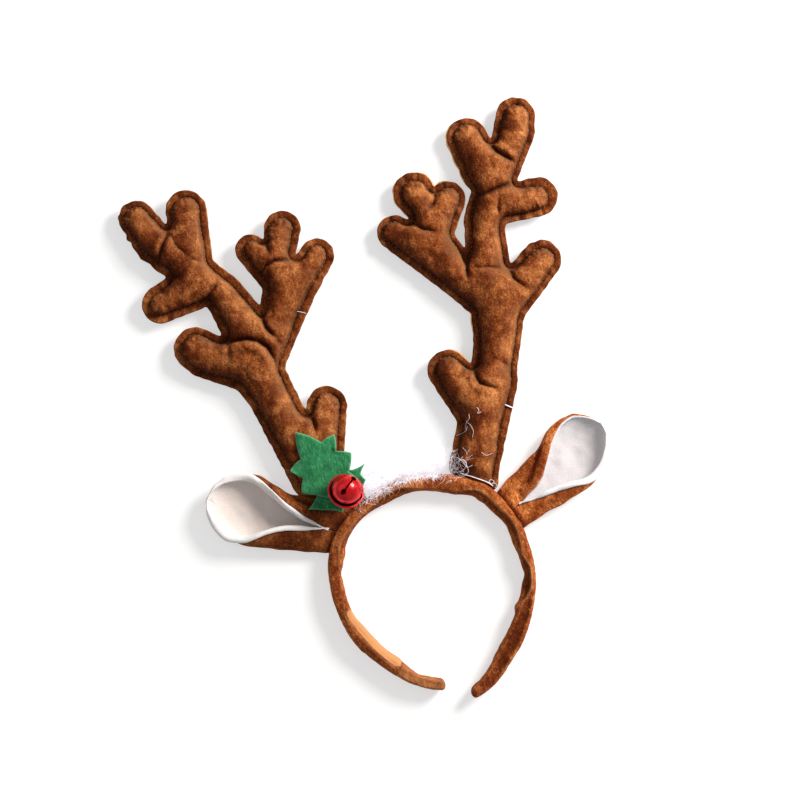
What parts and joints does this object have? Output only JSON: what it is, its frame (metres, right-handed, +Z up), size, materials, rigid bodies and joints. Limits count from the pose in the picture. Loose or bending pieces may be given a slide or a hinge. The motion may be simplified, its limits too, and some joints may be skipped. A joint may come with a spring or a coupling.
{
  "type": "reindeer antler headband",
  "caption": "Padded velvet reindeer antlers and folded ears on a velvet-sleeved head band, with felt holly leaves, a jingle bell and white fluff.",
  "frame": {"origin": "middle of the footprint, on the surface that the headband lies on", "axes": "+Y from the band's open end to the antler tips, +X to the right antler, +Z up out of the surface"},
  "size_m": [0.2836, 0.3776, 0.0403],
  "materials": {
    "brown_velvet": "crushed velvet with a mottled nap",
    "white_cloth": "short soft pile",
    "green_felt": "matte pressed felt",
    "red_metal": "glossy",
    "white_fluff": "loose fine fibres"
  },
  "bodies": {
    "root": {"headband": "brown_velvet", "antler_left": "brown_velvet", "antler_right": "brown_velvet", "ear_left_outer": "brown_velvet", "ear_right_outer": "brown_velvet", "ear_left_lining": "white_cloth", "ear_right_lining": "white_cloth", "holly_leaf_upper": "green_felt", "holly_leaf_lower": "green_felt", "jingle_bell": "red_metal", "fur_trim": "white_fluff"}
  },
  "joints": []
}
